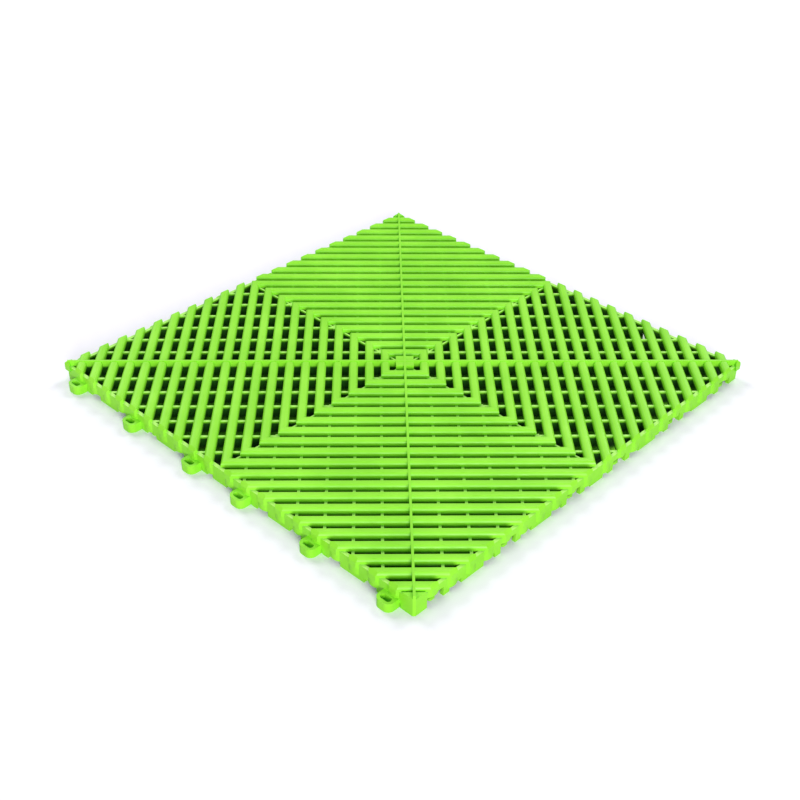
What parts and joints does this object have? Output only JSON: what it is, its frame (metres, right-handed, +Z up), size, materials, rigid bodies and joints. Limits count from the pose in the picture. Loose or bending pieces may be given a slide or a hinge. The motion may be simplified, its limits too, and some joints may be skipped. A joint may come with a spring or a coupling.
{
  "type": "interlocking floor tile",
  "caption": "Square vented floor tile of slanted ribs in nested diamond rings over thin webs, with slotted loops on two sides and pegs under the other two that lock tile to tile.",
  "frame": {"origin": "centre of the square body on the plane that the tile rests on", "axes": "+Z up, X and Y along the sides; the loops are on the -X and +Y sides, the pegs under the +X and -Y sides"},
  "size_m": [0.4085, 0.4085, 0.018],
  "materials": {
    "tile_plastic": "lime green moulded polypropylene with a soft satin sheen"
  },
  "bodies": {
    "root": {"floor_tile": "tile_plastic"}
  },
  "joints": []
}
